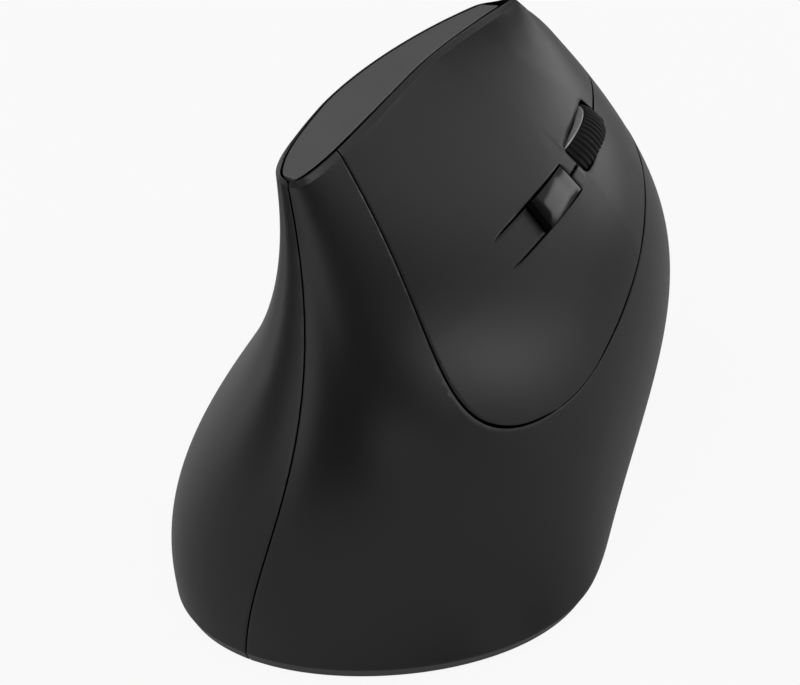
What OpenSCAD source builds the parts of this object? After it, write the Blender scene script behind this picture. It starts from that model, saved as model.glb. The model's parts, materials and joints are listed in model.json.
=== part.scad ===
// Vertical ergonomic mouse, right-handed and cordless.
// Millimetres, +Z up, +Y to the front, origin under the middle of the body.
// Rails are the four lines rear, right, front and left that the skin runs through.

/* [Rails of the skin] */
// Rear rail, X from the rim up to the crest
rear_x = [-7, -6, 9, -16]; // [-40:0.5:40]
// Rear rail, Y
rear_y = [-57, -57.5, -52.5, -24.5]; // [-60:0.5:0]
// Right rail, X
right_x = [35, 28, 35.5, 16, -12.5]; // [-40:0.5:40]
// Right rail, Y
right_y = [-18.5, -4, 12.5, 19.5, 9.5]; // [-30:0.5:40]
// Front rail, X
front_x = [-2, 4.5, -1.5, -2.5, -8.5]; // [-20:0.5:20]
// Front rail, Y
front_y = [52, 61, 57, 54.5, 40]; // [0:0.5:70]
// Left rail, X
left_x = [-33, -42, -24, -10, -22]; // [-50:0.5:0]
// Left rail, Y
left_y = [-10, -2, -2, 3, -4]; // [-30:0.5:30]

/* [Fullness between rails] */
// Rear to right, at the rear rail
rear_out = [0.42, 0.5, 0.5, 1.2]; // [0:0.02:1.2]
// Rear to right, at the right rail
right_in = [0.54, 0.45, 0.5, 0.65]; // [0:0.02:1.2]
// Right to front, at the right rail
right_out = [0.22, 0.88, 0.56, 0.5]; // [0:0.02:1.2]
// Right to front, length of the nose at the front rail in mm
nose_in = [15, 20, 11.5, 2]; // [0:0.5:30]
// Front to left, at the front rail
front_out = [0.5, 0.5, 0.5, 0.3]; // [0:0.02:1.2]
// Front to left, at the left rail
left_in = [0.55, 0.55, 0.5, 0.45]; // [0:0.02:1.2]
// Left to rear, at the left rail
left_out = [0.68, 0.55, 0.5, 0.5]; // [0:0.02:1.2]
// Left to rear, at the rear rail
rear_in = [0.7, 0.7, 1.1, 0.9]; // [0:0.02:1.2]

/* [Case] */
// Thickness of the glide feet under the case
foot_h = 0.6; // [0.4:0.1:1]
// Height of the rim, the top of the lower chamfer
rim_z = 3; // [2.5:0.1:3.5]
// How far the lower chamfer runs in
foot_in = 1.2; // [0.6:0.1:1.6]
// Height of the crest, the foot of the upper chamfer
crest_z = 71; // [68:0.5:76]
// How far the upper chamfer runs in
crest_in = 0.8; // [0.5:0.1:1]
// How far the upper chamfer rises
crest_up = 1.2; // [0.8:0.1:1.6]
// Wall of the two shells
shell_wall = 2; // [1.6:0.1:2.4]
// Wall of the finger panel and its keys
key_wall = 1.8; // [1.5:0.1:2]
// Seam between the two shells
seam_gap = 0.3; // [0.2:0.05:0.4]
// Seam round the finger panel
panel_gap = 0.45; // [0.35:0.05:0.6]
// Slit between the two keys
key_gap = 0.5; // [0.4:0.05:0.7]
// Room in front of the keys
nose_gap = 1.25; // [0.8:0.05:1.5]
// Thickness of the top panel
top_panel_t = 1.2; // [1:0.1:1.5]

/* [Scroll wheel] */
// Radius over the ribs of the tyre
wheel_r = 9.6; // [9.2:0.1:9.8]
// Width of the tyre
wheel_w = 5.6; // [5.2:0.1:6]
// Fall of the tread from its middle to its sides
tyre_crown = 0.7; // [0.4:0.05:0.8]
// Clearance beside the tyre in its slot
wheel_gap = 0.4; // [0.35:0.05:0.6]
// Clearance before and behind the tyre in its slot
slot_room = 0.65; // [0.6:0.05:0.9]
// Depth of the axle under the finger panel
wheel_depth = 7; // [6.8:0.1:7.4]
// Diameter of the axle
axle_d = 2; // [1.6:0.1:2.4]
// Diameter of the pin that the yoke turns on
yoke_pin_d = 1.6; // [1.2:0.1:1.8]
// Ribs round the tyre
tyre_ribs = 60; // [44:1:72]

/* [Keys] */
// Rise of the DPI key at its rear end
dpi_rise = 1.2; // [0.8:0.1:2]
// Rise of the thumb keys over the shell
thumb_rise = 1.2; // [0.6:0.1:1.6]
// Room round the DPI and thumb keys
button_gap = 0.35; // [0.25:0.05:0.45]

/* [Boards] */
// Thickness of the key and main boards
board_t = 1.6; // [1:0.1:1.6]
// Depth of the key board's upper face under the finger panel
key_board_depth = 13.4; // [13.2:0.1:13.8]
// Height of the main board's lower face
main_board_z = 6; // [5.6:0.1:6.6]

/* [Base] */
// Thickness of the base plate
base_t = 2; // [1.8:0.1:2.2]
// Diameter of the battery
battery_d = 14.2; // [13.6:0.1:14.4]
// Length of the battery with its cap
battery_l = 50.2; // [49:0.1:50.6]
// Diameter of the case screws
screw_d = 2; // [1.6:0.1:2.2]
// Room round parts that slide or turn
slide_gap = 0.3; // [0.2:0.05:0.35]

/* [Hidden] */
e = 0.002;
crest_dir = [0.62, -0.78];
nose_half = 2.4;
// Finger panel on the skin: first number round the body, second one up it
panel_rear = [[0.57, 1], [0.42, 0.78], [0.46, 0.45], [0.84, 0.45]];
panel_low = [[0.84, 0.45], [1.05, 0.455], [1.2, 0.65], [2, 0.61]];
split_t = 0.75;
split_rise = 0.017;
hinge_v = 0.8;
dpi_v = [0.93, 1.11];
dpi_t = [0.719, 0.777];
slot_mid = [0.756, 0.7645];
slot_steps = [0, 0.01, 0.03, 0.09, 0.3, 0.55, 0.8, 0.93, 1];
wheel_yaw = 8;
wheel_shift = [-1.1, -0.3];
palm_corner = 0.42;

function bez(p, t) = len(p) == 1 ? p[0]
    : bez([for (i = [0:len(p) - 2]) p[i] * (1 - t) + p[i + 1] * t], t);
function mix(a, b, k) = a * (1 - k) + b * k;
function clip(a, low, high) = min(high, max(low, a));
function unit(a) = a / norm(a);
function spread(a, b, n) = [for (i = [0:n]) mix(a, b, i / n)];

// The skin: v runs 0 rear, 1 right, 2 front, 3 left; t runs 0 rim, 1 crest
rail_x = [rear_x, right_x, front_x, left_x];
rail_y = [rear_y, right_y, front_y, left_y];
full_out = [rear_out, right_out, front_out, left_out];
full_in = [right_in, nose_in, left_in, rear_in];
function rail(i, t) = [bez(rail_x[i % 4], t), bez(rail_y[i % 4], t)];
function ring(v, t) =
    let (q = floor(v + 4) % 4, u = v - floor(v), a = rail(q, t), b = rail(q + 1, t),
         d = b - a, out = bez(full_out[q], t), into = bez(full_in[q], t))
    q % 2 == 0
        ? bez([a, a + [out * d.x, 0], b - [0, into * d.y], b], u)
        : bez([a, a + [0, out * d.y], b + [q == 1 ? into : -into * d.x, 0], b], u);
function wall_pt(v, t) = let (p = ring(v, t)) [p.x, p.y, mix(rim_z, crest_z, t)];
function inward(v, t) = let (d = ring(v + e, t) - ring(v - e, t)) unit([-d.y, d.x]);
function outward(v, t) =
    let (a = max(0, t - e), b = min(1, t + e))
    unit(cross(wall_pt(v + e, t) - wall_pt(v - e, t), wall_pt(v, b) - wall_pt(v, a)));
// Crest: step towards the middle that dies out at the two tips, and half the width there
function crest_half(v) = norm(ring(4 - v, 1) - ring(v, 1)) / 2;
function crest_step(v) = let (d = ring(4 - v, 1) - ring(v, 1)) d / max(norm(d), 7);
// The thumb shell closes the front tip of the crest
function at_nose(v) = v > 2 && v < 2.7 && crest_half(v) < nose_half;
function crest_inset(v) = at_nose(v)
    ? 2 * crest_half(v) - crest_in * norm(crest_step(v)) - nose_gap : crest_in * norm(crest_step(v));
// Point of the outer skin; t of -1 is the foot of the lower chamfer, 2 the top of the upper one
function skin(v, t) =
    let (m = clip(t, 0, 1), low = clip(-t, 0, 1), high = clip(t - 1, 0, 1), p = wall_pt(v, m),
         n = low > 0 ? inward(v, m) * low * foot_in
           : high > 0 ? unit(crest_step(v)) * high * crest_inset(v) : [0, 0])
    p + [n.x, n.y, low * (foot_h - rim_z) + high * crest_up];
// Direction from the outer skin to the inner one
function into_wall(v, t) =
    let (m = clip(t, 0, 1), k = clip((t - 0.85) / 0.15, 0, 1),
         n = k > 0 ? crest_step(v) * (at_nose(v) && t > 1 ? -1 : 1) : inward(v, m))
    t < 0 ? [n.x, n.y, 0]
    : unit(mix(-outward(v, m), [n.x * crest_dir.x, n.y * crest_dir.x, crest_dir.y], k));
// Share of v, or of t, that spans a length g of the skin
function share(v, t, g) = 2 * e * g / norm(wall_pt(v + e, t) - wall_pt(v - e, t));
function share_t(v, t, g) = 2 * e * g / norm(wall_pt(v, t + e) - wall_pt(v, t - e));

// Thick piece of the skin over a grid of [v, t]; keep says which cells it has, and under is
// the grid of its inner side where that differs
module slab(grid, w, keep = function (i, j) true, rise = function (v, t) 0, under = undef) {
    r = len(grid) - 1;
    c = len(grid[0]) - 1;
    n = (r + 1) * (c + 1);
    outer = [for (row = grid) for (p = row) skin(p[0], p[1]) - rise(p[0], p[1]) * into_wall(p[0], p[1])];
    low = is_undef(under) ? grid : under;
    inner = [for (row = low) for (p = row) skin(p[0], p[1]) + w * into_wall(p[0], p[1])];
    has = function (i, j) i >= 0 && i < r && j >= 0 && j < c && keep(i, j);
    faces = [for (i = [0:r - 1]) for (j = [0:c - 1]) if (keep(i, j))
        let (p = i * (c + 1) + j, q = p + c + 1, s = q + 1, u = p + 1)
        each concat([[p, q, s], [p, s, u], [p + n, s + n, q + n], [p + n, u + n, s + n]],
            has(i - 1, j) ? [] : [[p, u, u + n], [p, u + n, p + n]],
            has(i + 1, j) ? [] : [[s, q, q + n], [s, q + n, s + n]],
            has(i, j - 1) ? [] : [[q, p, p + n], [q, p + n, q + n]],
            has(i, j + 1) ? [] : [[u, s, s + n], [u, s + n, u + n]])];
    polyhedron(concat(outer, inner), faces, convexity = 8);
}

// Rear and lower edge of the finger panel
function panel_edge(s) = s < 0.5 ? bez(panel_rear, 2 * s) : bez(panel_low, 2 * s - 1);
// Height of that edge at v, found by halving
function panel_t(v, a = 0.3, b = 1, n = 16) =
    let (m = (a + b) / 2, p = panel_edge(m))
    n == 0 ? p[1] : p[0] < v ? panel_t(v, m, b, n - 1) : panel_t(v, a, m, n - 1);
// Place of that edge at height t
function panel_v(t, a = 0, b = 0.5, n = 16) =
    let (m = (a + b) / 2, p = panel_edge(m))
    n == 0 ? p[0] : p[1] > t ? panel_v(t, m, b, n - 1) : panel_v(t, a, m, n - 1);

// Palm shell: columns run along the panel edge, rows from the rear seam and the rim to it
palm_columns = 52;
palm_rows = 15;
function palm_far(s) =
    s <= palm_corner
        ? let (t = 1 - s / palm_corner) [share(0, t, seam_gap / 2), t]
        : let (k = (s - palm_corner) / (1 - palm_corner))
          [mix(share(0, 0, seam_gap / 2), 2 - share(2, 0, seam_gap / 2), k), 0];
function palm_at(s, r) =
    let (a = panel_edge(s), b = palm_far(s),
         gap = 0.1 * panel_gap / norm(wall_pt(mix(a.x, b.x, 0.1), mix(a.y, b.y, 0.1)) - wall_pt(a.x, a.y)),
         p = mix(a, b, mix(1, gap, r)))
    [min(p.x, 2 - share(2, p.y, seam_gap / 2)), p.y];
palm_knee = round(palm_corner * palm_columns);
palm_s = concat(spread(0, palm_corner, palm_knee),
    [for (s = spread(palm_corner, 1, palm_columns - palm_knee)) if (s > palm_corner) s]);
palm_grid = concat(
    [[for (j = [-1:palm_columns]) [palm_at(palm_s[max(j, 0)], 0).x, -1]]],
    [for (i = [0:palm_rows]) [for (j = [-1:palm_columns])
        j < 0 ? [palm_at(0, i / palm_rows).x, 2] : palm_at(palm_s[j], i / palm_rows)]]);
module palm_shell() color("#242424") union() {
    slab(palm_grid, shell_wall, function (i, j) i > 0 || j > palm_knee);
    shell_post();
}

// Thumb shell
thumb_levels = concat([2], spread(1, 0, 20), [-1]);
function thumb_columns(t) = concat([4 - share(0, t, seam_gap / 2)], spread(3.95, 2.05, 38),
    [2 + share(2, t, seam_gap / 2)]);
thumb_grid = [for (t = thumb_levels) [for (v = thumb_columns(clip(t, 0, 1))) [v, t]]];
module thumb_shell() color("#242424")
    slab(thumb_grid, shell_wall, function (i, j) i < 6 || i > 7 || j < 16 || j > 25);

// Frame of the finger face: X across, Y to the front, Z out of the panel
face_lean = 45;
face_yaw = 7;
face_at = wall_pt(1.3, split_t);
face_x = [cos(face_lean) * cos(face_yaw), cos(face_lean) * sin(face_yaw), -sin(face_lean)];
face_y = [-sin(face_yaw), cos(face_yaw), 0];
face_z = [sin(face_lean) * cos(face_yaw), sin(face_lean) * sin(face_yaw), cos(face_lean)];
function face(p) = let (d = p - face_at) [d * face_x, d * face_y, d * face_z];
module in_face() translate(face_at) rotate([0, face_lean, face_yaw]) children();
module across(d, x0, x1, y = 0, z = 0)
    translate([x0, y, z]) rotate([0, 90, 0]) cylinder(d = d, h = x1 - x0, $fn = 48);
module block(low, high) translate(low) cube(high - low);

// Frame of the wheel: the finger face moved to the slot and turned with it
module in_wheel_face() in_face() translate([wheel_shift.x, wheel_shift.y, 0]) rotate(wheel_yaw) children();
function wheel_face(p) =
    let (d = face(p), x = d.x - wheel_shift.x, y = d.y - wheel_shift.y)
    [x * cos(wheel_yaw) + y * sin(wheel_yaw), y * cos(wheel_yaw) - x * sin(wheel_yaw), d.z];
// Place on the skin that lies y ahead of the wheel's middle, found by halving
function v_at(y, a = 0.8, b = 1.8, n = 16) =
    let (m = (a + b) / 2)
    n == 0 ? m : wheel_face(wall_pt(m, split_t)).y < y ? v_at(y, m, b, n - 1) : v_at(y, a, m, n - 1);

// Finger panel: the split line climbs to the front, and the wheel's slot is round at the rear
function rise_in(k) = let (c = clip(k, 0, 1)) c * c * (3 - 2 * c);
function split_at(v) = split_t + split_rise * rise_in((v - 1.1) / 0.5);
wheel_chord = sqrt(pow(wheel_r, 2) - pow(wheel_depth, 2));
under_chord = sqrt(pow(wheel_r, 2) - pow(wheel_depth - key_wall - 0.6, 2)) + slot_room;
slot_v = [v_at(-wheel_chord - slot_room), v_at(wheel_chord + slot_room + 0.5)];
under_v = [v_at(-under_chord), v_at(under_chord + 0.5)];
function slot_s(v) = clip((v - slot_v[0]) / (slot_v[1] - slot_v[0]), 0, 1);
function slot_shape(s) =
    let (a = 1 - clip(s / 0.09, 0, 1), b = 1 - clip((1 - s) / 0.07, 0, 1))
    min(0.45 + 0.55 * sqrt(1 - a * a), 0.85 + 0.15 * sqrt(1 - b * b));
function slot_edge(v, side) =
    let (k = slot_s(v), m = mix(slot_mid[0], slot_mid[1], k))
    m + side * share_t(v, m, wheel_w / 2 + wheel_gap) * slot_shape(k);
function front_v(t) = 2 - share(2, clip(t, 0, 1), nose_gap);
function key_columns(t, last, ends = slot_v) =
    let (m = clip(t, 0, 1), h = share(hinge_v, m, 0.15))
    concat(spread(hinge_v + h, dpi_v[0], 5), [mix(dpi_v[0], dpi_v[1], 0.5), dpi_v[1]],
        [for (k = slot_steps) mix(ends[0], ends[1], k)], spread(mix(ends[1], last, 0.2), last, 4));
slot_first = 8;
slot_last = 15;
split_half = key_gap / 190;
// Rows of the left key: its edge along the split, the DPI key's edge, the slot's edge, then heights
left_levels = concat([-3, -2, -1], spread(0.83, 1, 6), [2]);
function left_t(v, r) =
    r == -3 ? split_at(v) + split_half
    : r == -2 ? (v <= dpi_v[1] ? dpi_t[1] : split_at(v) + 0.007)
    : r == -1 ? (v <= dpi_v[1] ? dpi_t[1] + 0.012 : max(slot_edge(v, 1), split_at(v) + 0.014)) : r;
function left_grid(ends) = [for (r = left_levels) let (m = r < 0 ? 0.78 : r, last = front_v(m),
        top = key_columns(m, last), low = key_columns(m, last, ends))
    [for (j = [0:len(top) - 1]) [low[j], left_t(top[j], r)]]];
module left_button() color("#262626") union() {
    slab(left_grid(slot_v), key_wall, function (i, j) i == 0 ? j == 7 || j > slot_last
        : i == 1 ? j < slot_first || j > slot_last : true, under = left_grid(under_v));
    key_post(left_press);
}

right_levels = concat([0, 0.05], spread(0.125, 1, 7), [2, 3]);
function right_t(v, r) =
    r <= 1 ? mix(panel_t(v), v <= dpi_v[1] ? dpi_t[0] - 0.01
        : min(slot_edge(v, -1), split_at(v) - 0.014), r)
    : r == 2 ? (v <= dpi_v[1] ? dpi_t[0] : split_at(v) - 0.007) : split_at(v) - split_half;
function right_grid(ends) = let (last = front_v(0.68), top = key_columns(0.6, last),
    low = key_columns(0.6, last, ends))
    [for (r = right_levels) [for (j = [0:len(top) - 1]) [low[j], right_t(top[j], r)]]];
module right_button() color("#262626") union() {
    slab(right_grid(slot_v), key_wall, function (i, j) i == 10 ? j == 7 || j > slot_last
        : i == 9 ? j < slot_first || j > slot_last : true, under = right_grid(under_v));
    key_post(right_press);
}

// Fixed tail of the panel with the tongue between the two slits
slit = 0.003;
slit_wide = 0.001;
tail_levels = concat([for (r = right_levels) if (r <= 1) right_t(hinge_v, r)],
    [dpi_t[0] + slit, split_t, dpi_t[1] - slit, left_t(hinge_v, -1)], spread(0.83, 1, 6), [2]);
tail_grid = [for (t = tail_levels)
    let (m = clip(t, 0, 1), b = hinge_v - share(hinge_v, m, 0.15),
         a = min(panel_v(m), b - share(hinge_v, m, 0.8)), side = sign(split_t - m))
    concat([for (v = spread(a, b, 7)) [v, t]],
        [for (k = spread(0, 1, 4)) [mix(hinge_v + 0.02, dpi_v[0] - 0.006, k), t + side * slit_wide * k]])];
module key_panel() color("#262626")
    slab(tail_grid, key_wall, function (i, j) j < 7 || i == 10 || i == 11);

// Top panel, narrower below so that the keys can dip beside it
panel_steps = [for (v = concat(spread(0.04, 1.96, 64), spread(2.04, 3.96, 64)))
    if (crest_half(v) > nose_half + 0.2 || v < 0.5 && crest_half(v) > 2 || v > 3.5 && crest_half(v) > 2) v];
module top_panel() color("#4a4a4a") {
    n = len(panel_steps);
    drop = top_panel_t * crest_dir.x / -crest_dir.y;
    top_z = crest_z + crest_up;
    loop = function (inset, z) [for (v = panel_steps)
        let (p = ring(v, 1) + unit(crest_step(v)) * (norm(crest_step(v)) * crest_in + inset)) [p.x, p.y,
            z]];
    polyhedron(concat(loop(panel_gap, top_z), loop(panel_gap + drop, top_z - top_panel_t)),
        concat([[for (i = [0:n - 1]) n - 1 - i]], [[for (i = [0:n - 1]) n + i]],
            [for (i = [0:n - 1]) let (k = (i + 1) % n) each [[i, k, n + k], [i, n + k, n + i]]]),
        convexity = 4);
}

// Switches under the keys, each below a place on the skin
left_press = face(wall_pt(1.08, 0.86));
right_press = face(wall_pt(1.1, 0.61));
middle_press = [9.3, 3, 0];
dpi_mid = face(wall_pt((dpi_v[0] + dpi_v[1]) / 2, (dpi_t[0] + dpi_t[1]) / 2));
dpi_press = [dpi_mid.x, dpi_mid.y - 1.2, 0];
board_top = -key_board_depth;
switch_size = [5.8, 12.8, 6.4];
plunger_d = 2.4;
plunger_gap = 0.12;
plunger_tip = board_top + switch_size.z + 0.7;
module key_post(p)
    in_face() translate([p.x, p.y, plunger_tip + 0.2])
        cylinder(d = 3, h = p.z - key_wall / 2 - plunger_tip - 0.2, $fn = 32);
module micro_switch(p) color("#1c1c1e") difference() {
    block([p.x - switch_size.x / 2, p.y - switch_size.y / 2, board_top],
        [p.x + switch_size.x / 2, p.y + switch_size.y / 2, board_top + switch_size.z]);
    translate([p.x, p.y, plunger_tip - 3])
        cylinder(d = plunger_d + 2 * plunger_gap, h = 4, $fn = 32);
}
module plunger(p, tip = plunger_tip) color("#c8452f")
    translate([p.x, p.y, tip - 2]) cylinder(d = plunger_d, h = 2, $fn = 32);
module left_switch() in_face() micro_switch(left_press);
module right_switch() in_face() micro_switch(right_press);
module middle_switch() in_wheel_face() micro_switch(middle_press);
module left_plunger() in_face() plunger(left_press);
module right_plunger() in_face() plunger(right_press);
module middle_plunger() in_wheel_face() plunger(middle_press);

// Key under the thumb or behind the wheel: a piece of the skin lifted at both ends
module raised_key(vs, ts, rows, cols, rise)
    slab([for (t = spread(ts[0] + share_t(vs[0], ts[0], button_gap),
        ts[1] - share_t(vs[0], ts[1], button_gap), rows))
        [for (v = spread(vs[0] + share(vs[0], t, button_gap), vs[1] - share(vs[1], t, button_gap),
            cols)) [v, t]]],
        key_wall, function (i, j) true, rise);

dpi_tip = board_top + 4.2;
dpi_flange = -4.6;
module dpi_button() color("#101010") union() {
    raised_key(dpi_v, dpi_t, 3, 6,
        function (v, t) dpi_rise * clip((dpi_v[1] - v) / (dpi_v[1] - dpi_v[0]) * 1.3 - 0.2, 0, 1));
    in_face() translate(dpi_press) {
        translate([0, 0, dpi_tip + 0.2]) cylinder(d = 3, h = -2.4 - dpi_tip - 0.2, $fn = 32);
        block([-3.6, -4.2, dpi_flange - 0.8], [3.6, 6.4, dpi_flange]);
        block([-1.8, -2.8, dpi_flange - 0.4], [1.8, 5.2, -2]);
    }
}
module dpi_switch() color("#1c1c1e") in_face() difference() {
    block([dpi_press.x - 2.25, dpi_press.y - 2.25, board_top],
        [dpi_press.x + 2.25, dpi_press.y + 2.25, board_top + 3.4]);
    translate([dpi_press.x, dpi_press.y, board_top + 1.4])
        cylinder(d = plunger_d + 2 * plunger_gap, h = 4, $fn = 32);
}
module dpi_plunger() in_face() plunger(dpi_press, dpi_tip);

// Thumb keys press along X towards the thumb board
forward_v = [2.7, 2.95];
back_v = [2.95, 3.2];
thumb_t = [0.65, 0.75];
thumb_board_x = -12.2;
forward_at = wall_pt(2.825, 0.7);
back_at = wall_pt(3.075, 0.7);
module thumb_key(vs) color("#303032")
    raised_key(vs, thumb_t, 3, 8, function (v, t)
        thumb_rise * min(1, 6 * min((v - vs[0]) / (vs[1] - vs[0]) + 0.08,
            (vs[1] - v) / (vs[1] - vs[0]) + 0.08,
            (t - thumb_t[0]) / 0.1 + 0.02, (thumb_t[1] - t) / 0.1 + 0.02)));
module forward_button() thumb_key(forward_v);
module back_button() thumb_key(back_v);
module side_switch(p) color("#1c1c1e") difference() {
    block([thumb_board_x - 2.6, p.y - 3, p.z - 3], [thumb_board_x, p.y + 3, p.z + 3]);
    across(plunger_d + 2 * plunger_gap, thumb_board_x - 4, thumb_board_x - 0.8, p.y, p.z);
}
module side_plunger(p) color("#c8452f")
    across(plunger_d, p.x + key_wall * 1.1 + 0.25, thumb_board_x - 1.5, p.y, p.z);
module forward_switch() side_switch(forward_at);
module back_switch() side_switch(back_at);
module forward_plunger() side_plunger(forward_at);
module back_plunger() side_plunger(back_at);
thumb_screws = [[-16, 47], [22, 47]];
module thumb_board() color("#1f5a3a") difference() {
    block([thumb_board_x, -18, 45], [thumb_board_x + 1.2, 24, 54.5]);
    for (p = thumb_screws) across(2.2, thumb_board_x - 1, thumb_board_x + 3, p[0], p[1]);
}

// Scroll wheel, in the finger face's frame
wheel_at = [0, 0, -wheel_depth];
arm_in = wheel_w / 2 + 0.8;
arm_out = arm_in + 1.6;
hub_r = wheel_r - 1.7;
yoke_at = [0, -11.9, -10.2];
module in_wheel() in_wheel_face() translate(wheel_at) rotate([0, 90, 0]) children();
rim_r = wheel_r - tyre_crown - 0.35;
rim_w = 0.35;
module wheel_tyre() color("#161616") in_wheel() difference() {
    intersection() {
        translate([0, 0, rim_w + 0.02 - wheel_w / 2])
            linear_extrude(wheel_w - 2 * rim_w) polygon([for (i = [0:tyre_ribs - 1])
            for (k = [[-0.3, 0.45], [-0.2, 0], [0.2, 0], [0.3, 0.45]])
            let (a = (i + k[0]) * 360 / tyre_ribs) (wheel_r - k[1]) * [cos(a), sin(a)]]);
        rotate_extrude($fn = 96) polygon(concat([[0, -wheel_w / 2], [0, wheel_w / 2]],
            [for (k = spread(1, -1, 6)) [wheel_r - tyre_crown * k * k, k * wheel_w / 2]]));
    }
    cylinder(r = hub_r + 0.02, h = 20, center = true, $fn = 96);
}
module wheel_hub() color("#d8d8d8") in_wheel() difference() {
    union() {
        difference() {
            cylinder(r = rim_r, h = wheel_w, center = true, $fn = 96);
            for (s = [-1, 1]) translate([0, 0, s * (wheel_w / 2 - 0.6)])
                cylinder(r = hub_r - 1.3, h = 2.8, center = true, $fn = 96);
            translate([0, 0, rim_w - wheel_w / 2]) difference() {
                cylinder(r = wheel_r, h = wheel_w, $fn = 96);
                cylinder(r = hub_r, h = 3 * wheel_w, center = true, $fn = 96);
            }
        }
        cylinder(d = axle_d + 3, h = wheel_w + 0.8, center = true, $fn = 48);
    }
    cylinder(d = axle_d + 0.04, h = 20, center = true, $fn = 48);
}
module wheel_axle() color("#b8b8b8") in_wheel_face()
    across(axle_d, -arm_out - 4.4, arm_out + 0.8, wheel_at.y, wheel_at.z);
// Side plate of the yoke between its pin and the axle
module yoke_arm(x) translate([x, 0, 0]) rotate([90, 0, 90]) linear_extrude(1.6) difference() {
    union() {
        translate([wheel_at.y, wheel_at.z]) circle(d = 5.2, $fn = 48);
        translate([yoke_at.y, yoke_at.z]) circle(d = 4, $fn = 48);
        polygon([[yoke_at.y, yoke_at.z - 2], [wheel_at.y, wheel_at.z - 2.4],
            [wheel_at.y, wheel_at.z + 2.4], [yoke_at.y, yoke_at.z + 2]]);
    }
    translate([wheel_at.y, wheel_at.z]) circle(d = axle_d + 0.12, $fn = 48);
    translate([yoke_at.y, yoke_at.z]) circle(d = yoke_pin_d + 0.12, $fn = 48);
}
module wheel_yoke() color("#2c2c30") in_wheel_face() {
    yoke_arm(-arm_out);
    yoke_arm(arm_in);
    difference() {
        block([-arm_in - 0.1, yoke_at.y - 1.5, yoke_at.z - 1.7],
            [arm_in + 0.1, yoke_at.y + 0.7, yoke_at.z + 1.7]);
        across(yoke_pin_d + 0.12, -10, 10, yoke_at.y, yoke_at.z);
    }
    block([arm_in, middle_press.y - 1.4, wheel_at.z + 1.5],
        [arm_out, middle_press.y + 1.4, plunger_tip + 1.8]);
    block([arm_in, middle_press.y - 1.4, plunger_tip + 0.2],
        [middle_press.x + 1.6, middle_press.y + 1.4, plunger_tip + 1.8]);
}
module yoke_pin() color("#b8b8b8") in_wheel_face()
    across(yoke_pin_d, -arm_out - 2.2, arm_out + 2.2, yoke_at.y, yoke_at.z);
module wheel_encoder() color("#2a3a5a") in_wheel_face() difference() {
    block([-arm_out - 4.8, -3.4, wheel_at.z - 5.2], [-arm_out, 5, wheel_at.z + 2.8]);
    across(axle_d + 0.12, -arm_out - 4.6, -arm_out + 1, wheel_at.y, wheel_at.z);
}

// Key board under the finger panel and the frame that carries it
key_board_outline = [[-15.5, -24], [18, -24], [18, 13], [-4, 13], [-15.5, -3]];
key_screws = [[-5.5, -21.4], [15.5, -22], [15.5, 9.5]];
frame_top = board_top - board_t - 2.4;
module key_board() color("#1f5a3a") in_face() {
    translate([0, 0, board_top - board_t]) linear_extrude(board_t) difference() {
        polygon(key_board_outline);
        translate(wheel_shift) rotate(wheel_yaw)
            translate([-wheel_w / 2 - 0.6, -wheel_r + 0.4]) square([wheel_w + 1.2, 2 * wheel_r - 0.8]);
        for (p = key_screws) translate(p) circle(d = screw_d + 0.2, $fn = 32);
    }
}
module pin_lugs() color("#2c2c30") in_wheel_face() for (s = [-1, 1]) difference() {
    block([s * (arm_out + 1.2) - 0.9, yoke_at.y - 1.7, board_top],
        [s * (arm_out + 1.2) + 0.9, yoke_at.y + 1.7, yoke_at.z + 1.7]);
    across(yoke_pin_d + 0.02, -12, 12, yoke_at.y, yoke_at.z);
}
frame_legs = [[10.5, 12, 5, 8], [6.5, 35.5, 5, 7]];
frame_prop = [-6, 9.5, 4, 5];
leg_screws = [[10.5, 12], [6.5, 36]];
base_top = foot_h + base_t;
// Leg from height z up to the plate under the key board
module frame_leg(p, z) difference() {
    block([p[0] - p[2] / 2, p[1] - p[3] / 2, z], [p[0] + p[2] / 2, p[1] + p[3] / 2, 60]);
    in_face() block([-60, -60, frame_top - 1], [60, 60, 60]);
}
module inner_frame() color("#3a3a3c") difference() {
    union() {
        in_face() {
            translate([0, 0, frame_top - 2]) linear_extrude(2) difference() {
                translate([-8, -24]) square([26, 36]);
                translate(wheel_shift) rotate(wheel_yaw)
                    translate([-wheel_w / 2 - 0.6, -wheel_r]) square([wheel_w + 1.2, 2 * wheel_r]);
            }
            for (p = key_screws) translate([p[0], p[1], frame_top - 1])
                cylinder(d = 4.4, h = 3.4, $fn = 32);
        }
        block([thumb_board_x + 1.2, -18, 45.2], [thumb_board_x + 5.4, 24, 48.6]);
        for (p = frame_legs) frame_leg(p, base_top);
        frame_leg(frame_prop, bay_top);
    }
    for (p = leg_screws) translate([p[0], p[1], 0]) cylinder(d = screw_d + 0.1, h = 12, $fn = 32);
    in_face() for (p = key_screws) translate([p[0], p[1], frame_top - 4])
        cylinder(d = screw_d + 0.1, h = 8, $fn = 32);
    for (p = thumb_screws) across(screw_d + 0.1, thumb_board_x, thumb_board_x + 8, p[0], p[1]);
}

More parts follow.
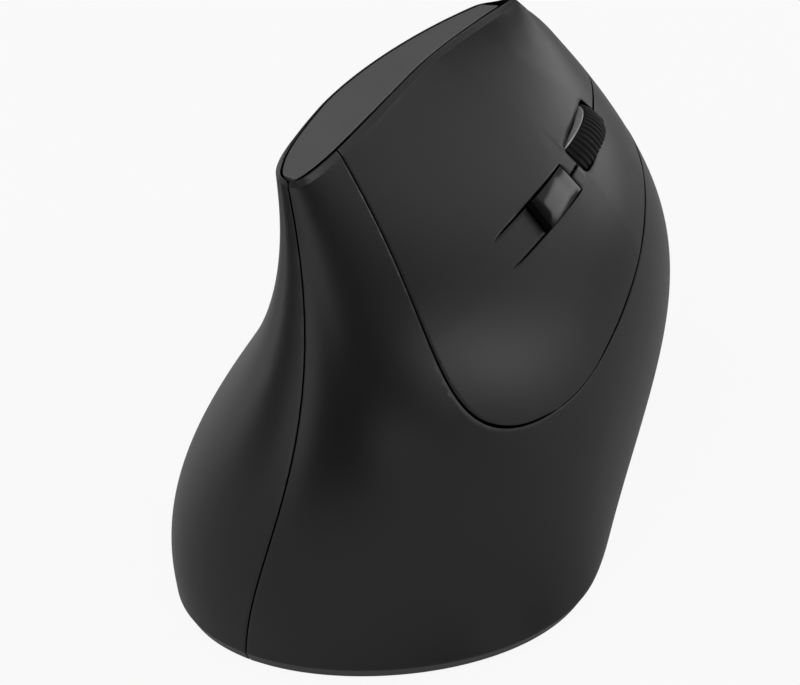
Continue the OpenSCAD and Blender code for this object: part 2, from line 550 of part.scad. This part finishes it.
// Base plate with the battery bay and the receiver's pocket
base_inset = foot_in + shell_wall + 0.3;
base_outline = [for (v = spread(0, 4, 80)) if (v < 4) ring(v, 0) + inward(v, 0) * base_inset];
bay_x = -4;
spring_room = 3.4;
plate_room = 0.6;
bay_front = 11;
bay_y = [bay_front - battery_l - spring_room - plate_room, bay_front];
bay_half = battery_d / 2 + 0.5;
battery_z = base_top + 0.3 + battery_d / 2;
bay_top = battery_z + battery_d / 2 + 1.7;
door_t = 1.3;
receiver_at = [18, -14];
sensor_at = [-6, 25];
slider_at = [-12, 34];
slider_travel = 3;
post_v = 0.6;
post_at = ring(post_v, 0) + inward(post_v, 0) * (foot_in + shell_wall + 4.8);
case_screw_at = concat(leg_screws, [post_at]);
main_screws = [[-14, 17], [1, 17], [1, 35]];
module at_points(points) for (p = points) translate([p[0], p[1], 0]) children();
// Screw post of the palm shell with the rib that ties it to the wall
module shell_post() {
    p = post_at;
    w = ring(post_v, 0.08) + inward(post_v, 0.08) * shell_wall * 0.7;
    d = w - p;
    difference() {
        union() {
            translate([p.x, p.y, base_top]) cylinder(d = 5.4, h = 9, $fn = 40);
            translate([p.x, p.y, base_top + 4.4]) rotate(atan2(d.y, d.x)) translate([0, -0.8, 0])
                cube([norm(d), 1.6, 3]);
        }
        translate([p.x, p.y, base_top - 1]) cylinder(d = screw_d + 0.1, h = 9, $fn = 32);
    }
}
module base_plate() color("#1e1e1e") difference() {
    union() {
        translate([0, 0, foot_h]) linear_extrude(base_t) polygon(base_outline);
        block([bay_x - bay_half - 1.2, bay_y[0] - 1.2, base_top - 0.5],
            [bay_x + bay_half + 1.2, bay_y[1] + 1.2, bay_top]);
        block([receiver_at.x - 4.6, receiver_at.y - 8.8, base_top - 0.5],
            [receiver_at.x + 4.6, receiver_at.y + 8.8, 21]);
        at_points(main_screws) translate([0, 0, base_top - 0.5])
            cylinder(d = 4.4, h = main_board_z - base_top + 0.5, $fn = 32);
    }
    block([bay_x - bay_half, bay_y[0], -1], [bay_x + bay_half, bay_y[1], battery_z + battery_d / 2 + 0.5]);
    block([bay_x - bay_half - 1.6, bay_y[0] - 1.6, -1],
        [bay_x + bay_half + 1.6, bay_y[1] + 1.6, foot_h + door_t + 0.1]);
    for (s = [-1, 1]) block([bay_x + s * 4.5 - 1.9, bay_y[1] - 1, -1],
        [bay_x + s * 4.5 + 1.9, bay_y[1] + 4, base_top + 3]);
    block([receiver_at.x - 3.3, receiver_at.y - 7.5, -1], [receiver_at.x + 3.3, receiver_at.y + 7.5, 7.4]);
    block([receiver_at.x - 2.5, receiver_at.y - 6.3, -1], [receiver_at.x + 2.5, receiver_at.y + 6.3, 20]);
    translate([sensor_at.x, sensor_at.y, -1]) cylinder(d = 9, h = 5, $fn = 48);
    block([slider_at.x - 2, slider_at.y - 4.2, -1], [slider_at.x + 2, slider_at.y + 4.2, 5]);
    at_points(case_screw_at) {
        translate([0, 0, -1]) cylinder(d = screw_d + 0.3, h = 5, $fn = 32);
        translate([0, 0, -1]) cylinder(d = 2 * screw_d + 0.3, h = foot_h + 2.2, $fn = 40);
    }
    at_points(main_screws) cylinder(d = screw_d + 0.1, h = 9, $fn = 32);
}
module battery_door() color("#1e1e1e") {
    block([bay_x - bay_half - 1.6 + slide_gap, bay_y[0] - 1.6 + slide_gap, foot_h],
        [bay_x + bay_half + 1.6 - slide_gap, bay_y[1] + 1.6 - slide_gap, foot_h + door_t]);
    for (s = [-1, 1]) {
        block([bay_x + s * 4.5 - 1.5, bay_y[1] - 0.7, foot_h + door_t - 0.1],
            [bay_x + s * 4.5 + 1.5, bay_y[1] + 0.7, base_top + 1.4]);
        block([bay_x + s * 4.5 - 1.5, bay_y[1] - 0.7, base_top + 0.3],
            [bay_x + s * 4.5 + 1.5, bay_y[1] + 2.6, base_top + 1.4]);
    }
}
module battery() color("#7a5a2a")
    translate([bay_x, bay_y[0] + spring_room, battery_z]) rotate([-90, 0, 0]) {
    cylinder(d = battery_d, h = battery_l - 1.3, $fn = 64);
    cylinder(d = 5.5, h = battery_l, $fn = 48);
}
module contact_plate() color("#c9c4b0")
    block([bay_x - 4.5, bay_y[1] - 0.5, battery_z - 4.5], [bay_x + 4.5, bay_y[1], battery_z + 4.5]);
module contact_spring() color("#c9c4b0") {
    block([bay_x - 4.5, bay_y[0], battery_z - 5], [bay_x + 4.5, bay_y[0] + 0.4, battery_z + 5]);
    translate([bay_x, bay_y[0] + 0.4, battery_z]) rotate([-90, 0, 0])
        for (k = [0:4]) rotate_extrude($fn = 48) translate([4.2 - 0.45 * k, 0.3 + 0.45 * k])
            circle(d = 0.7, $fn = 16);
}
module usb_receiver() color("#8e8e92") translate([receiver_at.x, receiver_at.y, foot_h]) {
    block([-3, -7.2, 0], [3, 7.2, 6.4]);
    block([-2.25, -6, 6.3], [2.25, 6, 18.6]);
}
module power_slider() color("#b8b8b8") {
    block([slider_at.x - 1.7, slider_at.y - 3.9, foot_h + 0.3],
        [slider_at.x + 1.7, slider_at.y - 3.9 + 4.8, base_top + 0.3]);
    block([slider_at.x - 0.7, slider_at.y - 2.5, base_top],
        [slider_at.x + 0.7, slider_at.y - 1.1, base_top + 1]);
}
module power_switch() color("#a0a0a4") difference() {
    block([slider_at.x - 2.4, slider_at.y - 4.6, base_top + 0.4],
        [slider_at.x + 2.4, slider_at.y + 4.6, main_board_z]);
    block([slider_at.x - 1, slider_at.y - 2.9, base_top],
        [slider_at.x + 1, slider_at.y + 2.9, base_top + 1.6]);
}
module main_board() color("#1f5a3a") translate([0, 0, main_board_z]) linear_extrude(board_t) difference() {
    polygon([[-17, 14], [3.6, 14], [3.6, 38.5], [-16.5, 38.5]]);
    translate(sensor_at) circle(d = 6, $fn = 48);
    for (p = main_screws) translate(p) circle(d = screw_d + 0.2, $fn = 32);
}
module sensor_chip() color("#141416")
    block([sensor_at.x - 4.5, sensor_at.y - 5.5, main_board_z + board_t],
        [sensor_at.x + 4.5, sensor_at.y + 5.5, main_board_z + board_t + 2.6]);
module sensor_lens() color("#cfd8e0") translate([sensor_at.x, sensor_at.y, 0]) {
    block([-5.2, -6.5, base_top + 0.2], [5.2, 4.1, base_top + 1.8]);
    translate([0, 0, foot_h + 0.6]) cylinder(d = 7.6, h = base_top - foot_h - 0.2, $fn = 48);
    translate([0, 0, base_top + 1.6]) cylinder(d = 5, h = main_board_z - base_top - 1.4, $fn = 48);
}
module screw(shank) {
    cylinder(d = 2 * screw_d, h = 1.1, $fn = 40);
    cylinder(d = screw_d, h = shank, $fn = 32);
}
module case_screws() color("#8c8c90") at_points(case_screw_at) translate([0, 0, foot_h + 0.1]) screw(8);
module board_screws() color("#8c8c90") {
    at_points(main_screws) translate([0, 0, main_board_z + board_t + 1.1]) rotate([180, 0, 0]) screw(6);
    in_face() for (p = key_screws) translate([p[0], p[1], board_top + 1.1]) rotate([180, 0, 0]) screw(6);
    for (p = thumb_screws) translate([thumb_board_x - 1.1, p[0], p[1]]) rotate([0, 90, 0]) screw(5.4);
}
// Rounded pad, long side along Y
module pad(p, l, w, turn) translate([p[0], p[1], 0]) rotate(turn) linear_extrude(foot_h) union() {
    square([w, l - w], center = true);
    for (s = [-1, 1]) translate([0, s * (l - w) / 2]) circle(d = w, $fn = 40);
}
module glide_feet() color("#2a2a2a") {
    pad([-7, -50], 13, 4, 90);
    pad([-4, 43], 13, 4, 90);
    pad([-26, -6], 18, 5, 0);
    pad([27, -18], 16, 5, 0);
}

palm_shell();
thumb_shell();
top_panel();
key_panel();
left_button();
right_button();
wheel_tyre();
wheel_hub();
wheel_axle();
wheel_yoke();
yoke_pin();
pin_lugs();
wheel_encoder();
dpi_button();
forward_button();
back_button();
left_switch();
right_switch();
middle_switch();
dpi_switch();
forward_switch();
back_switch();
left_plunger();
right_plunger();
middle_plunger();
dpi_plunger();
forward_plunger();
back_plunger();
key_board();
thumb_board();
main_board();
inner_frame();
sensor_chip();
sensor_lens();
base_plate();
battery_door();
battery();
contact_plate();
contact_spring();
usb_receiver();
power_slider();
power_switch();
glide_feet();
case_screws();
board_screws();
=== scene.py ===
import json
import math

import bmesh
import bpy
from mathutils import Matrix, Vector
from mathutils.kdtree import KDTree


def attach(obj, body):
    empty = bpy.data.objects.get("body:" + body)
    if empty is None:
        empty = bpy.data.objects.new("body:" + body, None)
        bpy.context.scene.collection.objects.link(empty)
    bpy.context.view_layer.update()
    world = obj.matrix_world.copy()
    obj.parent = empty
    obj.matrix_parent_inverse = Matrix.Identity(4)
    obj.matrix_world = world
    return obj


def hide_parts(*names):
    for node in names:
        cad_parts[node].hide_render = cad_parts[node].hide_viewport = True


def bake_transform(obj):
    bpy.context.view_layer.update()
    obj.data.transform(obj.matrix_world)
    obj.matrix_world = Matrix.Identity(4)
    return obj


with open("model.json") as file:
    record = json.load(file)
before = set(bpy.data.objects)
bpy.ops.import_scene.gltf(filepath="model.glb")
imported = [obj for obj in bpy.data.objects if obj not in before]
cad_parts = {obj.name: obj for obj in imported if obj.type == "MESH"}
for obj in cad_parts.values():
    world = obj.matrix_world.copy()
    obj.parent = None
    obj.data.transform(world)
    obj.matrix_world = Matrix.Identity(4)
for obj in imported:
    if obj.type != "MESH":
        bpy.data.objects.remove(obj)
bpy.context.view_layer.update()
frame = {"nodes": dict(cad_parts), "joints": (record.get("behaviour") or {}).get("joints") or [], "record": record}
nodes = frame["nodes"]
joints = {joint["name"]: joint for joint in frame["joints"]}
scene = bpy.context.scene
mm = 0.001


# camera, at the height and side of the photograph
shot = {
    "target": (-5.0, -8.3, 33.0),
    "azimuth": 28.0,
    "elevation": 38.5,
    "distance": 560.0,
    "lens": 153.7,
    "sensor": 36.0,
}


def makeCamera(values):
    target = Vector(values["target"]) * mm
    turn = math.radians(values["azimuth"])
    lift = math.radians(values["elevation"])
    back = Vector((math.sin(turn) * math.cos(lift), -math.cos(turn) * math.cos(lift), math.sin(lift)))
    lensData = bpy.data.cameras.new("photoCamera")
    lensData.lens = values["lens"]
    lensData.sensor_width = values["sensor"]
    lensData.sensor_fit = "HORIZONTAL"
    lensData.clip_start = 0.01
    camera = bpy.data.objects.new("photoCamera", lensData)
    camera.location = target + back * values["distance"] * mm
    camera.rotation_euler = back.to_track_quat("Z", "Y").to_euler()
    scene.collection.objects.link(camera)
    scene.camera = camera


makeCamera(shot)
print("camera in place")


# shader maths: a Wire is one output socket, and arithmetic on it adds Math nodes
class Wire:
    def __init__(self, finish, socket):
        self.finish = finish
        self.socket = socket

    def combine(self, operation, first, second):
        return self.finish.node("ShaderNodeMath", {"operation": operation}, {0: first, 1: second})

    def __add__(self, other):
        return self.combine("ADD", self, other)

    def __radd__(self, other):
        return self.combine("ADD", other, self)

    def __sub__(self, other):
        return self.combine("SUBTRACT", self, other)

    def __mul__(self, other):
        return self.combine("MULTIPLY", self, other)

    def clamped(self, low, high):
        return self.combine("MINIMUM", self.combine("MAXIMUM", self, low), high)


class Finish:
    def __init__(self, name):
        self.material = bpy.data.materials.new(name)
        self.material.use_nodes = True
        self.tree = self.material.node_tree
        self.tree.nodes.clear()

    # any node: type, settings, then values or links by socket; gives the output asked for
    def node(self, kind, settings=None, inputs=None, output=0):
        made = self.tree.nodes.new(kind)
        for key, value in (settings or {}).items():
            setattr(made, key, value)
        for key, value in (inputs or {}).items():
            if isinstance(value, Wire):
                self.tree.links.new(value.socket, made.inputs[key])
            else:
                made.inputs[key].default_value = value
        return Wire(self, made.outputs[output])

    def mixed(self, share, first, second):
        return self.node("ShaderNodeMix", {"data_type": "RGBA"}, {0: share, 6: first, 7: second}, 2)

    def surface(self, shader):
        out = self.tree.nodes.new("ShaderNodeOutputMaterial")
        self.tree.links.new(shader.socket, out.inputs["Surface"])
        return self.material


# moulded plastic, rubber and metal: broad shade, fine grain, small dents in the gloss
def moulded(name, values):
    finish = Finish(name)
    place = finish.node("ShaderNodeTexCoord", output=3)
    broad = finish.node("ShaderNodeTexNoise", None,
                        {"Vector": place, "Scale": values["broad"], "Detail": 3.0, "Roughness": 0.55})
    grain = finish.node("ShaderNodeTexNoise", None,
                        {"Vector": place, "Scale": values["grain"], "Detail": 2.0, "Roughness": 0.6})
    dark = [c * (1 - values["vary"]) for c in values["colour"]] + [1]
    light = [c * (1 + values["vary"]) for c in values["colour"]] + [1]
    inputs = {
        "Base Color": finish.mixed((broad - 0.3).clamped(0, 1) * 0.9 + grain * 0.3, dark, light),
        "Roughness": (values["rough"] + (broad - 0.5) * values["roughVary"]
                      + (grain - 0.5) * values["roughVary"]).clamped(0.02, 1),
        "Normal": finish.node("ShaderNodeBump", None, {
            "Strength": values["bump"], "Distance": values["bumpDepth"], "Height": grain}),
        "Metallic": values.get("metal", 0.0),
        "Coat Weight": values.get("coat", 0.0),
        "Coat Roughness": values.get("coatRough", 0.08),
        "Specular IOR Level": values.get("specular", 0.5),
        "Transmission Weight": values.get("clear", 0.0),
    }
    return finish.surface(finish.node("ShaderNodeBsdfPrincipled", None, inputs))


def plain(**changes):
    values = {"colour": (0.02, 0.02, 0.021), "vary": 0.1, "broad": 55.0, "grain": 2600.0, "rough": 0.45,
              "roughVary": 0.06, "bump": 0.12, "bumpDepth": 0.00003}
    values.update(changes)
    return values


finishes = {
    "black_plastic": plain(colour=(0.009, 0.009, 0.0093), rough=0.38),
    # top panel: its grey, far above the black shells, is painted light, standing in for the light the top catches
    # from above
    "top_plastic": plain(colour=(0.22, 0.22, 0.223), rough=0.42),
    "base_plastic": plain(colour=(0.02, 0.02, 0.02), rough=0.55, bump=0.25, grain=1600.0),
    "key_gloss": plain(colour=(0.008, 0.008, 0.0085), rough=0.16, bump=0.02, specular=0.22),
    "tread": plain(colour=(0.012, 0.012, 0.012), rough=0.62, bump=0.3, grain=3200.0),
    "hub_silver": plain(colour=(0.8, 0.8, 0.81), rough=0.25, metal=0.3, bump=0.03, vary=0.03),
    "inner_plastic": plain(colour=(0.05, 0.05, 0.055), rough=0.5),
    "switch_plastic": plain(colour=(0.03, 0.03, 0.034), rough=0.4),
    "plunger_plastic": plain(colour=(0.5, 0.07, 0.045), rough=0.35),
    "board": plain(colour=(0.02, 0.13, 0.055), rough=0.3, broad=420.0, vary=0.2),
    "steel": plain(colour=(0.6, 0.6, 0.6), rough=0.28, metal=1.0, vary=0.06),
    "lens": plain(colour=(0.85, 0.9, 0.95), rough=0.06, clear=0.9, bump=0.0),
    "battery_jacket": plain(colour=(0.22, 0.17, 0.1), rough=0.25, coat=0.4),
    "receiver_body": plain(colour=(0.45, 0.45, 0.46), rough=0.3, metal=0.9),
    "knob": plain(colour=(0.45, 0.45, 0.45), rough=0.35),
    "glide": plain(colour=(0.07, 0.07, 0.07), rough=0.3),
}
materials = {slot: moulded(slot, values) for slot, values in finishes.items()}
slotOf = {row["node"]: row["material_slot"] for row in frame["record"]["subparts"]}
for name, cadNode in nodes.items():
    cadNode.data.materials.clear()
    cadNode.data.materials.append(materials[slotOf[name]])
print("finishes:", len(materials))


mergeDistance = 0.002
bentAngle = 0.6
seamAngle = 0.7
noAngle = 4.0
crestHeight = 71.0
rimHeight = 3.0


# a copy of CAD nodes as one merged mesh, its triangles paired to quads
def copyOf(names):
    bm = bmesh.new()
    for owner, name in enumerate(names):
        first = len(bm.faces)
        bm.from_mesh(nodes[name].data)
        bm.faces.ensure_lookup_table()
        for face in bm.faces[first:]:
            face.material_index = owner
    bmesh.ops.remove_doubles(bm, verts=bm.verts, dist=mergeDistance * mm)
    diagonals = []
    for edge in bm.edges:
        if len(edge.link_faces) != 2 or edge.calc_face_angle(noAngle) > bentAngle:
            continue
        size = edge.calc_length()
        others = [e for f in edge.link_faces for e in f.edges if e is not edge]
        triangles = all(len(f.verts) == 3 for f in edge.link_faces)
        if triangles and all(e.calc_length() < size for e in others):
            diagonals.append(edge)
    bmesh.ops.dissolve_edges(bm, edges=diagonals, use_verts=False, use_face_split=False)
    return bm


# edges that stay crisp under the subdivision
def holdEdges(bm, limit, levels=()):
    crease = bm.edges.layers.float.get("crease_edge") or bm.edges.layers.float.new("crease_edge")
    for edge in bm.edges:
        sharp = len(edge.link_faces) != 2 or edge.calc_face_angle(noAngle) > limit
        for level in levels:
            sharp = sharp or all(abs(v.co.z - level * mm) < 0.01 * mm for v in edge.verts)
        if sharp:
            edge[crease] = 1.0


def toObject(bm, name):
    mesh = bpy.data.meshes.new(name)
    bm.to_mesh(mesh)
    bm.free()
    made = bpy.data.objects.new(name, mesh)
    scene.collection.objects.link(made)
    mesh.shade_smooth()
    return made


def rounded(piece, levels, width, segments=2, limit=18.0):
    if levels:
        smooth = piece.modifiers.new("smooth", "SUBSURF")
        smooth.levels = levels
        smooth.render_levels = levels
    edge = piece.modifiers.new("edge", "BEVEL")
    edge.width = width * mm
    edge.segments = segments
    edge.limit_method = "ANGLE"
    edge.angle_limit = math.radians(limit)
    edge.use_clamp_overlap = True
    edge.harden_normals = True


def dress(piece, node, body):
    piece.data.materials.clear()
    piece.data.materials.append(materials[slotOf[node]])
    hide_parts(node)
    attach(piece, body)


shells = {
    "palm_shell": {"edge": 0.22, "levels": (rimHeight, crestHeight)},
    "thumb_shell": {"edge": 0.22, "levels": (rimHeight, crestHeight)},
}
for name, values in shells.items():
    shell = copyOf([name])
    holdEdges(shell, seamAngle, values["levels"])
    piece = toObject(shell, name + "_skin")
    rounded(piece, 2, values["edge"])
    dress(piece, name, "case")
print("shells done")


# finger panel: tail and both keys as one moulding, welded together where the keys hinge
panel = {
    "weld": 0.48,
    "edge": 0.12,
    "bend": 7.0,
    "pieces": (("key_panel", "case"), ("left_button", "left_key"), ("right_button", "right_key")),
}


def weldHinge(bm, reach):
    tail = [v for v in bm.verts if all(f.material_index == 0 for f in v.link_faces)]
    keys = [v for v in bm.verts if all(f.material_index > 0 for f in v.link_faces)]
    tree = KDTree(len(tail))
    for i, v in enumerate(tail):
        tree.insert(v.co, i)
    tree.balance()
    targets = {}
    for v in keys:
        found, i, gap = tree.find(v.co)
        if gap < reach:
            targets[v] = tail[i]
    welded = set(targets.values())
    bmesh.ops.weld_verts(bm, targetmap=targets)
    inside = [f for f in bm.faces if all(v in welded for v in f.verts)]
    bmesh.ops.delete(bm, geom=inside, context="FACES_ONLY")
    return len(welded), len(inside)


def makePanel(values):
    bm = copyOf([node for node, body in values["pieces"]])
    print("panel weld:", weldHinge(bm, values["weld"] * mm))
    holdEdges(bm, seamAngle, (crestHeight,))
    whole = toObject(bm, "fingerPanel")
    for node, body in values["pieces"]:
        whole.data.materials.append(materials[slotOf[node]])
    rounded(whole, 2, values["edge"])
    bpy.context.view_layer.update()
    shaped = bpy.data.meshes.new_from_object(whole.evaluated_get(bpy.context.evaluated_depsgraph_get()))
    keep = shaped.attributes.new("cornerNormal", "FLOAT_VECTOR", "CORNER")
    keep.data.foreach_set("vector", [x for n in shaped.corner_normals for x in n.vector])
    bpy.data.objects.remove(whole)
    for owner, (node, body) in enumerate(values["pieces"]):
        part = bmesh.new()
        part.from_mesh(shaped)
        others = [f for f in part.faces if f.material_index != owner]
        bmesh.ops.delete(part, geom=others, context="FACES")
        for f in part.faces:
            f.material_index = 0
        rim = [e for e in part.edges if len(e.link_faces) == 1]
        caps = bmesh.ops.holes_fill(part, edges=rim, sides=0)["faces"]
        normals = part.loops.layers.float_vector["cornerNormal"]
        for f in caps:
            f.normal_update()
            for loop in f.loops:
                loop[normals] = f.normal
        piece = toObject(part, node + "_skin")
        mesh = piece.data
        mesh.normals_split_custom_set([Vector(d.vector) for d in mesh.attributes["cornerNormal"].data])
        mesh.attributes.remove(mesh.attributes["cornerNormal"])
        mesh.materials.clear()
        mesh.materials.append(materials[slotOf[node]])
        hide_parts(node)
        if body == "case":
            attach(piece, body)
        else:
            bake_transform(piece)


makePanel(panel)
print("finger panel done")


# top panel: its flat faces are filled anew from their outlines
topPanel = {"edge": 0.3, "flat": 0.99}


def makeTopPanel(values):
    bm = copyOf(["top_panel"])
    flat = [f for f in bm.faces if abs(f.normal.z) > values["flat"]]
    bmesh.ops.delete(bm, geom=flat, context="FACES_ONLY")
    loose = [e for e in bm.edges if not e.link_faces]
    bmesh.ops.delete(bm, geom=loose, context="EDGES")
    bmesh.ops.holes_fill(bm, edges=[e for e in bm.edges if e.is_boundary], sides=0)
    bmesh.ops.recalc_face_normals(bm, faces=bm.faces)
    piece = toObject(bm, "top_panel_skin")
    rounded(piece, 0, values["edge"], 3, 40.0)
    dress(piece, "top_panel", "case")


makeTopPanel(topPanel)


# scroll wheel: crowned tyre with ribs across it, against the bright rim on the left of its hub
wheel = {
    "outer": 9.6,
    "inner": 7.9,
    "half": 2.8,
    "crown": 0.7,
    "ribs": 60,
    "stepsPerRib": 4,
    "groove": 0.4,
    "rimRadius": 8.55,
    "rimInner": 6.6,
    "rimWidth": 0.35,
    "rimRound": 0.3,
    "rimSteps": 96,
    "treadSteps": 10,
    "seat": 0.02,
    "bossRadius": 2.5,
    "bossHalf": 3.2,
    "webHalf": 0.8,
    "bore": 1.02,
}


def wheelPlace():
    spin = joints["wheel_spin"]
    axis = Vector(spin["axis"]).normalized()
    turn = Vector((0, 0, 1)).rotation_difference(axis).to_matrix().to_4x4()
    return Matrix.Translation(Vector(spin["pos_m"])) @ turn


def spunRing(profile, steps):
    bm = bmesh.new()
    points = [bm.verts.new((radius * mm, 0, height * mm)) for radius, height in profile]
    edges = [bm.edges.new((a, b)) for a, b in zip(points, points[1:] + points[:1])]
    bmesh.ops.spin(bm, geom=points + edges, cent=(0, 0, 0), axis=(0, 0, 1), angle=2 * math.pi,
                   steps=steps, use_merge=True)
    bmesh.ops.remove_doubles(bm, verts=bm.verts, dist=mergeDistance * mm)
    bmesh.ops.recalc_face_normals(bm, faces=bm.faces)
    return bm


def makeTyre(values):
    half = values["half"]
    low = values["rimWidth"] + values["seat"] - half
    high = half - values["rimWidth"] + values["seat"]
    across = values["treadSteps"]
    seat = values["inner"] + values["seat"]
    profile = [(seat, low), (seat, high)]
    for i in range(across + 1):
        height = high + (low - high) * i / across
        fall = values["crown"] * (height / half) ** 2
        profile.append((values["outer"] - fall, height))
    ribs = values["ribs"]
    bm = spunRing(profile, ribs * values["stepsPerRib"])
    for v in bm.verts:
        radius = math.hypot(v.co.x, v.co.y)
        if radius < (values["inner"] + 0.1) * mm:
            continue
        step = round(math.atan2(v.co.y, v.co.x) / (2 * math.pi) * ribs * values["stepsPerRib"])
        if step % values["stepsPerRib"] in (2, 3):
            scale = 1 - values["groove"] * mm / radius
            v.co.x *= scale
            v.co.y *= scale
    bmesh.ops.transform(bm, matrix=wheelPlace(), verts=bm.verts)
    piece = toObject(bm, "wheel_tyre_ribbed")
    rounded(piece, 0, 0.1, 2, 30.0)
    dress(piece, "wheel_tyre", "wheel")


def makeHub(values):
    half = values["half"]
    side = [(values["bossRadius"], values["bossHalf"]), (values["bossRadius"], values["webHalf"]),
            (values["rimInner"], values["webHalf"]), (values["rimInner"], half)]
    profile = [(values["bore"], values["bossHalf"])] + side
    profile += [(values["inner"], half), (values["inner"], values["rimWidth"] - half)]
    profile += [(values["rimRadius"], values["rimWidth"] - half), (values["rimRadius"], -half)]
    profile += [(radius, -height) for radius, height in reversed(side)]
    profile += [(values["bore"], -values["bossHalf"])]
    bm = spunRing(profile, values["rimSteps"])
    bmesh.ops.transform(bm, matrix=wheelPlace(), verts=bm.verts)
    piece = toObject(bm, "wheel_hub_ring")
    rounded(piece, 0, values["rimRound"], 3, 30.0)
    dress(piece, "wheel_hub", "wheel")


makeTyre(wheel)
makeHub(wheel)
print("wheel done")


smallKeys = {
    "dpi_button": {"body": "dpi_key", "edge": 0.25, "smooth": 0},
    "forward_button": {"body": "forward_key", "edge": 0.3, "smooth": 2},
    "back_button": {"body": "back_key", "edge": 0.3, "smooth": 2},
}
for name, values in smallKeys.items():
    key = copyOf([name])
    holdEdges(key, bentAngle)
    piece = toObject(key, name + "_skin")
    rounded(piece, values["smooth"], values["edge"], 3, 25.0)
    dress(piece, name, values["body"])

# hard parts that show from below: soft edges on the CAD solids
for name in ("base_plate", "battery_door", "power_slider", "glide_feet", "usb_receiver"):
    rounded(nodes[name], 0, 0.15, 2, 40.0)
print("keys and base done")


# floor, background and lamps
floor = {"size": 3.0, "share": 0.92, "glossShare": 0.15}


def makeFloor(values):
    finish = Finish("paleFloor")
    ray = finish.tree.nodes.new("ShaderNodeLightPath")
    seen = (Wire(finish, ray.outputs["Is Camera Ray"]) * values["share"]
            + Wire(finish, ray.outputs["Is Transmission Ray"]) * values["share"]
            + Wire(finish, ray.outputs["Is Glossy Ray"]) * values["glossShare"]).clamped(0, 1)
    paper = finish.node("ShaderNodeBsdfDiffuse", None, {"Color": (0.9, 0.9, 0.9, 1)})
    white = finish.node("ShaderNodeEmission", None, {"Color": (1, 1, 1, 1), "Strength": 1.0})
    both = finish.node("ShaderNodeMixShader", None, {0: seen, 1: paper, 2: white})
    below = finish.node("ShaderNodeNewGeometry", output=6)
    clear = finish.node("ShaderNodeBsdfTransparent")
    oneSided = finish.node("ShaderNodeMixShader", None, {0: below, 1: both, 2: clear})
    bm = bmesh.new()
    bmesh.ops.create_grid(bm, x_segments=2, y_segments=2, size=values["size"])
    piece = toObject(bm, "floor")
    piece.data.materials.append(finish.surface(oneSided))


def makeWorld(ambient):
    world = bpy.data.worlds.new("studio")
    scene.world = world
    world.use_nodes = True
    tree = world.node_tree
    tree.nodes.clear()
    ray = tree.nodes.new("ShaderNodeLightPath")
    white = tree.nodes.new("ShaderNodeBackground")
    soft = tree.nodes.new("ShaderNodeBackground")
    soft.inputs["Color"].default_value = (ambient, ambient, ambient, 1)
    both = tree.nodes.new("ShaderNodeMixShader")
    out = tree.nodes.new("ShaderNodeOutputWorld")
    white.inputs["Color"].default_value = (1, 1, 1, 1)
    seen = tree.nodes.new("ShaderNodeMath")
    seen.operation = "MAXIMUM"
    tree.links.new(ray.outputs["Is Camera Ray"], seen.inputs[0])
    tree.links.new(ray.outputs["Is Transmission Ray"], seen.inputs[1])
    tree.links.new(seen.outputs[0], both.inputs[0])
    tree.links.new(soft.outputs[0], both.inputs[1])
    tree.links.new(white.outputs[0], both.inputs[2])
    tree.links.new(both.outputs[0], out.inputs["Surface"])


# lamps by where they stand round the object, their size in metres and how bright their face is
lamps = {
    "frontStrip": {"azimuth": 20.0, "elevation": 14.0, "size": (0.32, 0.22), "bright": 3.0},
    "frontHigh": {"azimuth": 22.0, "elevation": 38.0, "size": (0.3, 0.3), "bright": 0.7},
    "leftSide": {"azimuth": -90.0, "elevation": 9.0, "size": (0.4, 0.24), "bright": 2.6},
    "rightFront": {"azimuth": 64.0, "elevation": 16.0, "size": (0.2, 0.26), "bright": 3.0},
    "rightLow": {"azimuth": 106.0, "elevation": 8.0, "size": (0.3, 0.2), "bright": 0.8},
    "overhead": {"azimuth": 165.0, "elevation": 74.0, "size": (0.5, 0.5), "bright": 0.9},
    "rearLeft": {"azimuth": -160.0, "elevation": 28.0, "size": (0.36, 0.7), "bright": 1.1},
}
lampDistance = 0.7
ambientLight = 0.09


def makeLamps(values):
    centre = Vector((0, 0, 0.035))
    for name, lamp in values.items():
        turn = math.radians(lamp["azimuth"])
        lift = math.radians(lamp["elevation"])
        away = Vector((math.sin(turn) * math.cos(lift), math.cos(turn) * math.cos(lift), math.sin(lift)))
        data = bpy.data.lights.new(name, "AREA")
        data.shape = "RECTANGLE"
        data.size, data.size_y = lamp["size"]
        data.energy = lamp["bright"] * math.pi * data.size * data.size_y
        made = bpy.data.objects.new(name, data)
        made.location = centre + away * lampDistance
        made.rotation_euler = away.to_track_quat("Z", "Y").to_euler()
        scene.collection.objects.link(made)


makeFloor(floor)
makeWorld(ambientLight)
makeLamps(lamps)
scene.view_settings.view_transform = "Standard"
print("stage and lamps done")
